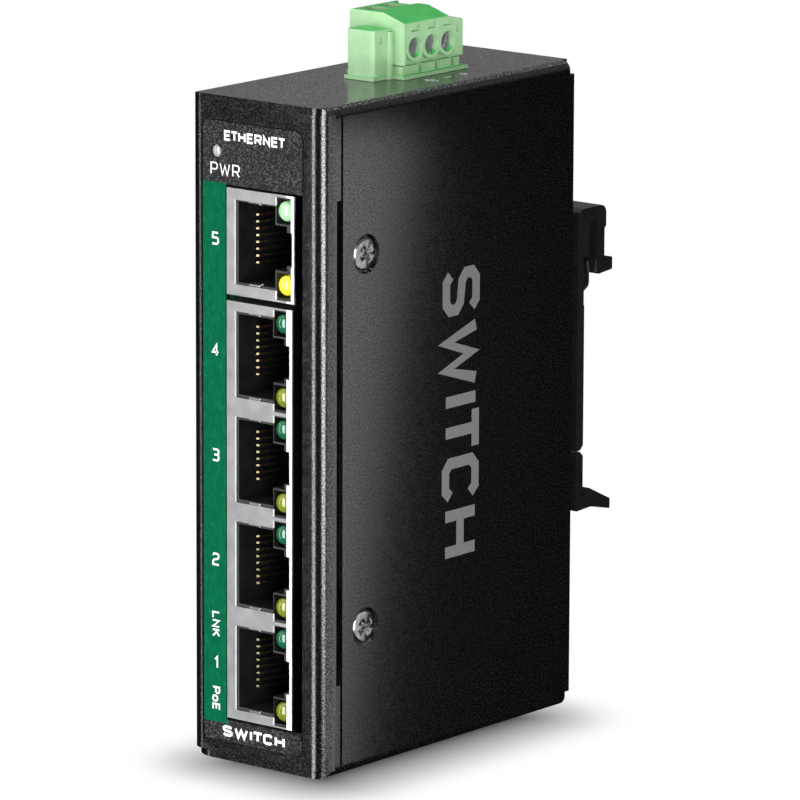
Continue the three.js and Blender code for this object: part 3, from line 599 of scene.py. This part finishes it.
def stroke_sides(points, half, closed):
    """The left and right edge points of a stroke, mitred at its corners."""
    count = len(points)
    sides = []
    for index, point in enumerate(points):
        before = points[index - 1] if closed or index > 0 else None
        after = points[(index + 1) % count] if closed or index < count - 1 else None
        ahead = (after - point).normalized() if after is not None else None
        behind = (point - before).normalized() if before is not None else None
        first = behind if behind is not None else ahead
        second = ahead if ahead is not None else behind
        along = (first + second).normalized()
        normal = Vector((-along.y, along.x))
        reach = half / max(normal.dot(Vector((-first.y, first.x))), MITRE_LIMIT)
        sides.append((point + normal * reach, point - normal * reach))
    return sides


def lettering(name, text, centre, right, up, size, stroke, material, body=BODY):
    """Raised print: text fitted to size = (width, height) millimetres about a centre."""
    strokes = []
    advance = 0.0
    for letter in text:
        shapes = GLYPHS[letter]
        points = [point for shape in shapes for point in shape if point is not CLOSED]
        start = advance - (OPEN_SIDED["T"] if letter == "T" else 0)
        strokes += [
            ([Vector((x + start, y)) for x, y in filter(None, shape)], shape[-1] is CLOSED)
            for shape in shapes
        ]
        closer = OPEN_SIDED.get(letter, 0) if letter != "T" else 2 * OPEN_SIDED["T"]
        advance += max(x for x, _ in points) + GLYPH_GAP - closer
    total = advance - GLYPH_GAP
    right, up, centre = Vector(right), Vector(up), Vector(centre)
    out = right.cross(up)
    scale = Vector(((size[0] - stroke) / max(total, 0.01), size[1] - stroke))
    drawn = bmesh.new()
    for lift, (points, closed) in enumerate(strokes):
        flat = [Vector(((p.x - total / 2) * scale.x, (p.y - 0.5) * scale.y)) for p in points]
        sides = stroke_sides(flat, stroke / 2, closed)
        depth = PRINT_THICKNESS + PRINT_STEP * (lift % 3)
        rings = []
        for left, other in sides:
            low = [centre + right * p.x + up * p.y for p in (left, other)]
            high = [p + out * depth for p in reversed(low)]
            rings.append([drawn.verts.new(p) for p in (*low, *high)])
        pairs = list(zip(rings, rings[1:])) + ([(rings[-1], rings[0])] if closed else [])
        for first, second in pairs:
            for index in range(4):
                after = (index + 1) % 4
                drawn.faces.new((first[index], first[after], second[after], second[index]))
        if not closed:
            drawn.faces.new(rings[0])
            drawn.faces.new(list(reversed(rings[-1])))
    return piece_from(name, drawn, material, body)


RIGHTWARD, UPWARD, BACKWARD = (1, 0, 0), (0, 0, 1), (0, 1, 0)
LEFTWARD, DOWNWARD = (-1, 0, 0), (0, 0, -1)

# ------------------------------------------------------------------ front print

PRINT_Y = LABEL_FRONT + PRINT_SUNK
NUMERAL_X = -7.78
NUMERAL = (1.4, 1.95)
WIDTH_OF_ONE = 0.75
FINE_STROKE = 0.3
NUMERAL_HEIGHTS = {5: 78.7, 4: 62.0, 3: 46.2, 2: 30.4, 1: 14.7}


def front_print(name, text, place, right, size, stroke):
    """White print on the overlay, centred on place = (x, z)."""
    up = UPWARD if right is RIGHTWARD else RIGHTWARD
    centre = (place[0], PRINT_Y, place[1])
    lettering(name, text, centre, right, up, size, stroke, WHITE_INK)


for port, height in NUMERAL_HEIGHTS.items():
    size = (WIDTH_OF_ONE if port == 1 else NUMERAL[0], NUMERAL[1])
    place = (NUMERAL_X, height)
    front_print(f"port_number_{port}", str(port), place, RIGHTWARD, size, FINE_STROKE)
front_print("link_mark", "LNK", (NUMERAL_X, 20.5), DOWNWARD, (3.9, 1.5), 0.27)
front_print("power_over_cable_mark", "PoE", (NUMERAL_X, 9.2), DOWNWARD, (3.6, 1.5), 0.27)
front_print("power_mark", "PWR", (-5.87, 89.1), RIGHTWARD, (5.6, 1.85), 0.21)
front_print("front_top_mark", "ETHERNET", (-0.3, 94.2), RIGHTWARD, (11.5, 1.55), 0.34)
front_print("front_low_mark", "SWITCH", (-0.5, 4.5), RIGHTWARD, (12.0, 1.65), 0.42)
lettering(
    "side_mark",
    "SWITCH",
    (RIGHT - COAT_SUNK, 2.25, 50.3),
    DOWNWARD,
    BACKWARD,
    (43.8, 8.8),
    1.75,
    GREY_INK,
)

# one mark for each pole of the supply terminal, on the top beside it: (y, width, height)
TERMINAL_MARK_X = 8.3
TERMINAL_MARKS = {"earth": (0.8, 2.4, 2.6), "-": (4.61, 1.7, 1.7), "+": (8.42, 1.7, 1.7)}
for order, (mark, (place_y, width, height)) in enumerate(TERMINAL_MARKS.items(), 1):
    centre = (TERMINAL_MARK_X, place_y, TOP - COAT_SUNK)
    size = (width, height)
    lettering(f"pole_mark_{order}", [mark], centre, BACKWARD, LEFTWARD, size, 0.27, PALE_INK)

# ------------------------------------------------------------------ sockets

CONTACTS = 8
CONTACT_PITCH = 1.016
SPRING_X = JACK_LEFT + 5.2
SPRING_REACH = 6.45  # from a port's centre line to the edge that its shield spring is bent from
SPRING_REACH_SINGLE = 6.3
for port, centre in PORT_CENTRE.items():
    wires = bmesh.new()
    for index in range(CONTACTS):
        z = centre + (index - (CONTACTS - 1) / 2) * CONTACT_PITCH
        add_strip(wires, [
            (JACK_LEFT + 2.2, FRONT + 5.0, z),
            (JACK_LEFT + 2.18, FRONT + 4.45, z),
            (JACK_LEFT + 2.3, FRONT + 4.15, z),
            (JACK_LEFT + 2.5, FRONT + 4.35, z),
            (JACK_LEFT + 3.1, FRONT + 6.0, z),
            (JACK_LEFT + 4.5, FRONT + 10.4, z),
            (JACK_LEFT + 5.1, FRONT + 12.8, z),
            (JACK_LEFT + 5.1, FRONT + 13.8, z),
        ], UPWARD, 0.3, 0.2)
    combs = [f"contacts_port_{port}"]
    piece_from(f"contact_wires_{port}", wires, MATERIALS["gold"], stands_for=combs)
    springs = bmesh.new()
    for side in (-1, 1):
        edge = centre + side * (SPRING_REACH_SINGLE if port == 5 else SPRING_REACH)
        add_strip(springs, [
            (SPRING_X, FRONT + 0.2, edge + side * 0.06),
            (SPRING_X, FRONT + 0.12, edge - side * 0.12),
            (SPRING_X, FRONT + 0.22, edge - side * 0.27),
            (SPRING_X, FRONT + 0.55, edge - side * 0.34),
            (SPRING_X, FRONT + 1.1, edge - side * 0.36),
        ], RIGHTWARD, 2.0, 0.14)
    piece_from(f"shield_springs_{port}", springs, MATERIALS["shield"])

# ------------------------------------------------------------------ stage: floor, lights, camera

CAMERA_YAW = math.radians(39.053)
CAMERA_PITCH = math.radians(12.065)
CAMERA_ROLL = math.radians(0.209)
CAMERA_OFFSET = (-31.36, -52.548, 1020.306)  # of the case's front left foot from the lens, mm
CAMERA_LENS = 307.49
SENSOR = 36.0


def make_camera():
    """A long lens that looks down a little on the front right edge."""
    back = Vector((
        math.sin(CAMERA_YAW) * math.cos(CAMERA_PITCH),
        -math.cos(CAMERA_YAW) * math.cos(CAMERA_PITCH),
        math.sin(CAMERA_PITCH),
    ))
    level = Vector((math.cos(CAMERA_YAW), math.sin(CAMERA_YAW), 0))
    upright = back.cross(level)
    right = level * math.cos(CAMERA_ROLL) + upright * math.sin(CAMERA_ROLL)
    up = upright * math.cos(CAMERA_ROLL) - level * math.sin(CAMERA_ROLL)
    corner = Vector((CASE_LOW.x, CASE_LOW.y, CASE_LOW.z))
    place = corner - right * CAMERA_OFFSET[0] - up * CAMERA_OFFSET[1] + back * CAMERA_OFFSET[2]
    data = bpy.data.cameras.new("camera")
    data.lens = CAMERA_LENS
    data.sensor_width = SENSOR
    data.clip_start = 0.05  # metres
    data.clip_end = 20
    camera = bpy.data.objects.new("camera", data)
    SCENE.collection.objects.link(camera)
    turn = Matrix((right, up, back)).transposed()
    camera.matrix_world = Matrix.Translation(place * MM) @ turn.to_4x4()
    SCENE.camera = camera


def make_floor():
    """A floor that is white to the camera, with a painted soft contact shadow, and that lights
    nothing.
    """
    drawn = bmesh.new()
    bmesh.ops.create_grid(drawn, x_segments=2, y_segments=2, size=FLOOR_REACH)
    mesh = bpy.data.meshes.new("floor")
    drawn.to_mesh(mesh)
    drawn.free()
    floor = bpy.data.objects.new("floor", mesh)
    floor.location.z = -FLOOR_DROP * MM
    SCENE.collection.objects.link(floor)
    finish = Finish("floor_white", Roughness=0.9, Specular_IOR_Level=0.0, Emission_Strength=1.0)
    finish.shader.inputs["Base Color"].default_value = (0.0, 0.0, 0.0, 1.0)
    axes = finish.axes()
    outside = []
    spans = {
        "X": (SHADOW_LEFT, RIGHT - SHADOW_INSET),
        "Y": (FRONT + SHADOW_INSET, SHADOW_BACK),
    }
    for axis, (low, high) in spans.items():
        from_middle = finish.maths("SUBTRACT", axes[axis], (low + high) / 2 * MM)
        from_middle = finish.maths("ABSOLUTE", from_middle, 0)
        past_edge = finish.maths("SUBTRACT", from_middle, (high - low) / 2 * MM)
        outside.append(finish.maths("MAXIMUM", past_edge, 0))
    distance = finish.maths("SQRT", finish.maths(
        "ADD",
        finish.maths("POWER", outside[0], 2),
        finish.maths("POWER", outside[1], 2),
    ), 0)
    share = finish.maths("DIVIDE", distance, SHADOW_REACH * MM)
    # painted shadow: dark at the case's foot, white from SHADOW_REACH out
    finish.feed("Emission Color", finish.ramp(share, [
        (0.0, (0.07, 0.07, 0.07)),
        (0.75, (0.87, 0.87, 0.87)),
        (0.88, (0.96, 0.96, 0.96)),
        (1.0, (1.0, 1.0, 1.0)),
    ]))
    mesh.materials.append(finish.material)
    floor.visible_glossy = False
    floor.visible_diffuse = False
    floor.visible_transmission = False
    floor.visible_shadow = False


def make_world():
    """White to the camera, and a dim dome for the light on the object: darker below."""
    world = bpy.data.worlds.new("studio")
    world.use_nodes = True
    nodes, links = world.node_tree.nodes, world.node_tree.links
    nodes.clear()
    seen = nodes.new("ShaderNodeBackground")
    seen.inputs["Strength"].default_value = 1.0
    seen.inputs["Color"].default_value = (1.0, 1.0, 1.0, 1.0)
    lit = nodes.new("ShaderNodeBackground")
    direction = nodes.new("ShaderNodeTexCoord")
    split = nodes.new("ShaderNodeSeparateXYZ")
    links.new(direction.outputs["Generated"], split.inputs["Vector"])
    dome = nodes.new("ShaderNodeMapRange")
    dome.interpolation_type = "SMOOTHSTEP"
    dome.inputs["From Min"].default_value = -0.1
    dome.inputs["From Max"].default_value = 0.25
    dome.inputs["To Min"].default_value = DOME[0]
    dome.inputs["To Max"].default_value = DOME[1]
    links.new(split.outputs["Z"], dome.inputs["Value"])
    links.new(dome.outputs["Result"], lit.inputs["Strength"])
    rays = nodes.new("ShaderNodeLightPath")
    choose = nodes.new("ShaderNodeMixShader")
    links.new(rays.outputs["Is Camera Ray"], choose.inputs["Fac"])
    links.new(lit.outputs["Background"], choose.inputs[1])
    links.new(seen.outputs["Background"], choose.inputs[2])
    output = nodes.new("ShaderNodeOutputWorld")
    links.new(choose.outputs["Shader"], output.inputs["Surface"])
    SCENE.world = world


def make_light(name, azimuth, height, distance, size, radiance, aim=(0, 0, 50), roll=0):
    """A soft box at an azimuth in degrees, 0 in front of the sockets and 90 to the right."""
    data = bpy.data.lights.new(name, "AREA")
    data.shape = "RECTANGLE"
    data.size, data.size_y = size[0] * MM, size[1] * MM
    data.energy = radiance * math.pi * data.size * data.size_y
    light = bpy.data.objects.new(name, data)
    turn = math.radians(azimuth)
    light.location = Vector((
        math.sin(turn) * distance,
        -math.cos(turn) * distance,
        height,
    )) * MM
    towards = Vector(aim) * MM - light.location
    light.rotation_mode = "QUATERNION"
    aimed = towards.to_track_quat("-Z", "Y")
    light.rotation_quaternion = aimed @ Quaternion((0, 0, 1), math.radians(roll))
    light.visible_camera = False
    SCENE.collection.objects.link(light)


FLOOR_REACH = 4.0  # half the floor's width, in metres
FLOOR_DROP = 0.02  # how far the floor lies below the case, mm
SHADOW_REACH = 18  # how far the painted soft contact shadow spreads over the floor, mm
SHADOW_INSET = 1.5  # from the case's front and right side to where the shadow starts to fade
SHADOW_LEFT = -3
SHADOW_BACK = -FRONT - 12
DOME = (0.012, 0.42)  # the sky's radiance below and above
make_camera()
make_floor()
make_world()
# name, azimuth, height, distance, (width, height), radiance
make_light("strip_left", -18, 50, 600, (225, 560), 8.0, aim=(0, 0, 50))
make_light("strip_right", 48, 100, 600, (240, 440), 13.5, aim=(0, 0, 100))
make_light("overhead", -60, 900, 500, (700, 700), 2.4)
make_light("side_card", 86, 37, 55, (75, 106), 1.65, aim=(13, -3.8, 37), roll=-9)
make_light("edge_strip", -51, 20, 600, (40, 540), 6.5, aim=(0, 0, 20))

SCENE.view_settings.view_transform = "Standard"
SCENE.view_settings.look = "None"
